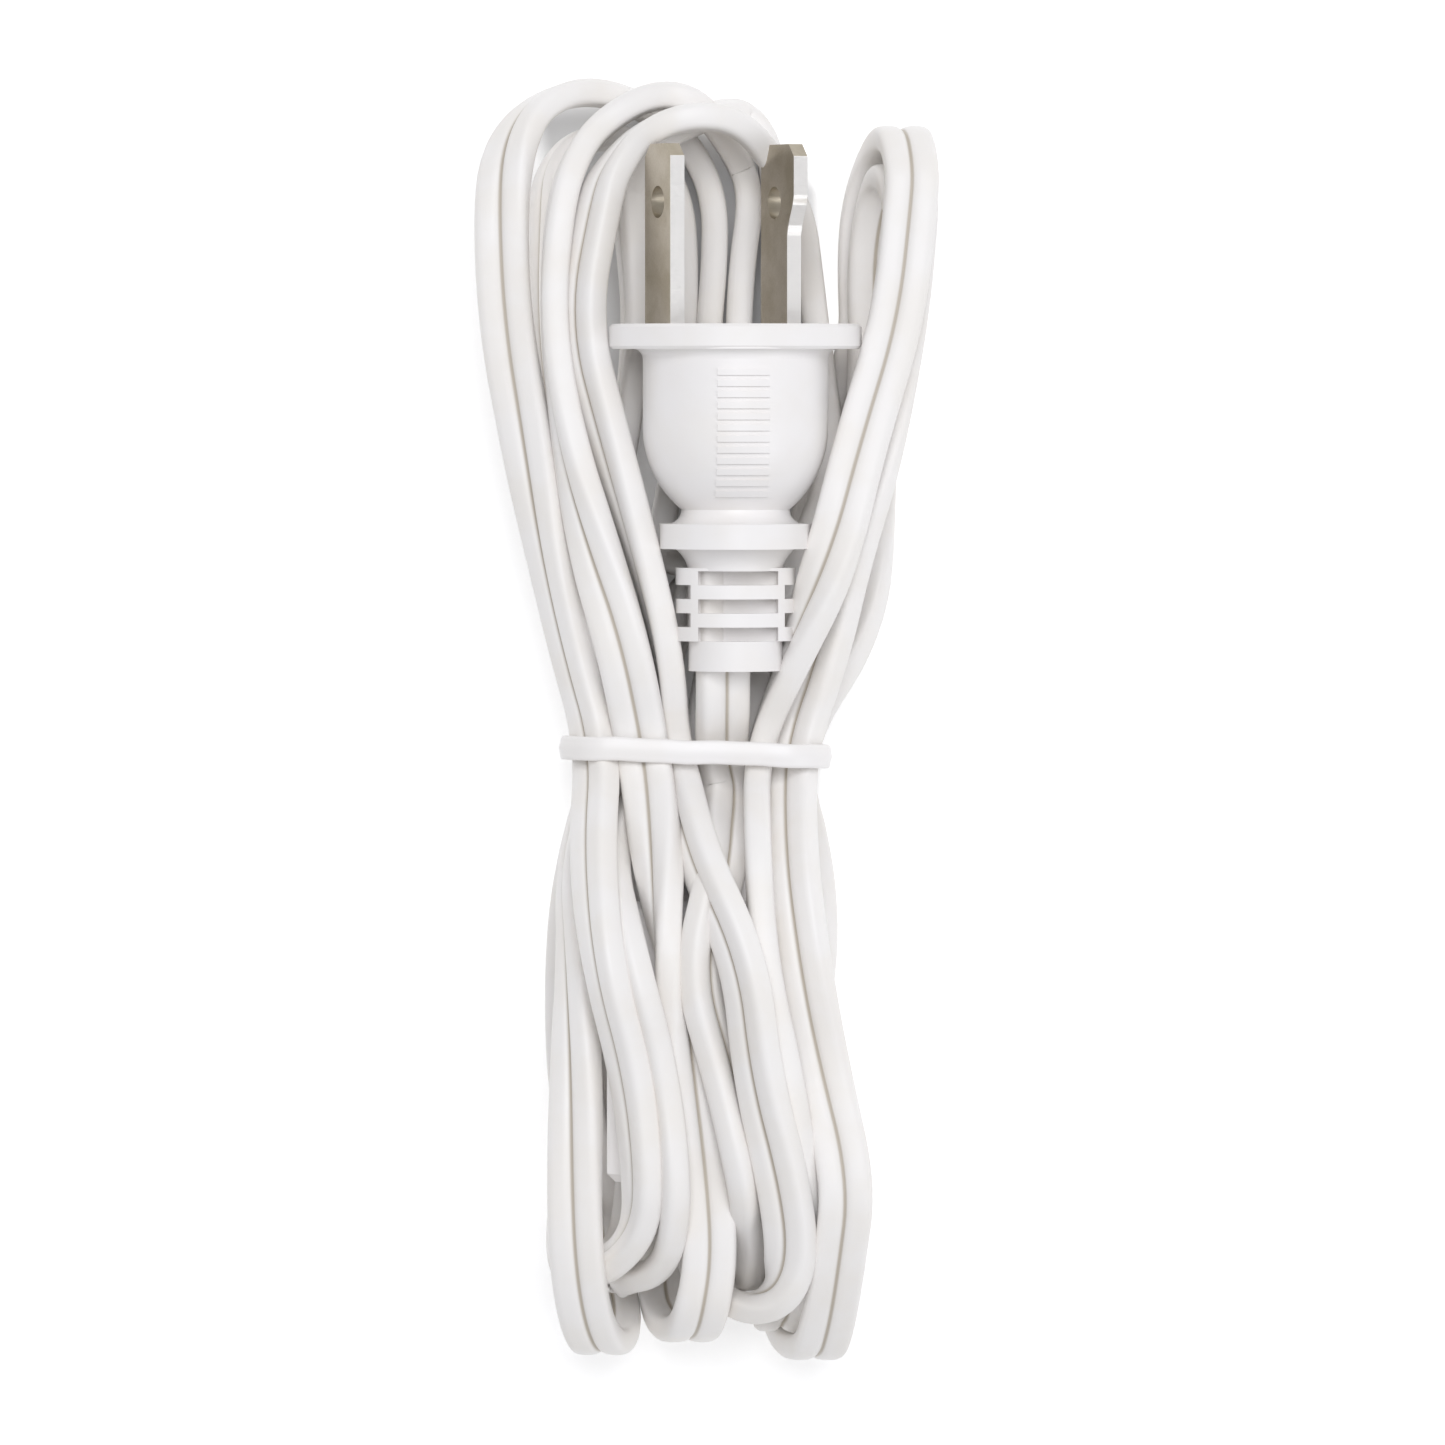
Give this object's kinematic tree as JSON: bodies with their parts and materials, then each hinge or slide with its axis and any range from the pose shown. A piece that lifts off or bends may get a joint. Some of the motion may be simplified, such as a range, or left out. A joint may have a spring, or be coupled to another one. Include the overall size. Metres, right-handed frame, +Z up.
{
  "type": "extension cord",
  "caption": "White two-wire household extension cord wound into a long hank, with a polarised plug, a moulded outlet and a twist tie round its middle.",
  "frame": {"origin": "centre of the bounding box's bottom face, on the surface that the hank lies on", "axes": "+Z up from the surface, +Y along the hank towards the plug's blades, +X to the right seen from above"},
  "size_m": [0.0484, 0.1288, 0.0269],
  "materials": {
    "cord_vinyl": "soft white PVC, slightly matt",
    "plug_vinyl": "white moulded PVC, satin",
    "holder_plastic": "rigid off-white plastic",
    "blade_nickel": "nickel-plated brass, dull",
    "copper": "bare stranded copper",
    "contact_brass": "pressed spring brass",
    "tie_plastic": "white plastic coating",
    "tie_steel": "soft galvanised steel wire"
  },
  "bodies": {
    "root": {"cord_hank": "cord_vinyl", "plug_lead": "cord_vinyl", "connector_lead": "cord_vinyl", "plug_core_hot": "cord_vinyl", "plug_core_neutral": "cord_vinyl", "connector_core_hot": "cord_vinyl", "connector_core_neutral": "cord_vinyl", "plug_body": "plug_vinyl", "connector_body": "plug_vinyl", "plug_blade_holder": "holder_plastic", "connector_face": "holder_plastic", "plug_blade_hot": "blade_nickel", "plug_blade_neutral": "blade_nickel", "plug_strands_hot": "copper", "plug_strands_neutral": "copper", "connector_strands_hot": "copper", "connector_strands_neutral": "copper", "connector_contact_hot": "contact_brass", "connector_contact_neutral": "contact_brass", "tie_ribbon": "tie_plastic", "tie_twist": "tie_plastic", "tie_wire": "tie_steel"}
  },
  "joints": []
}
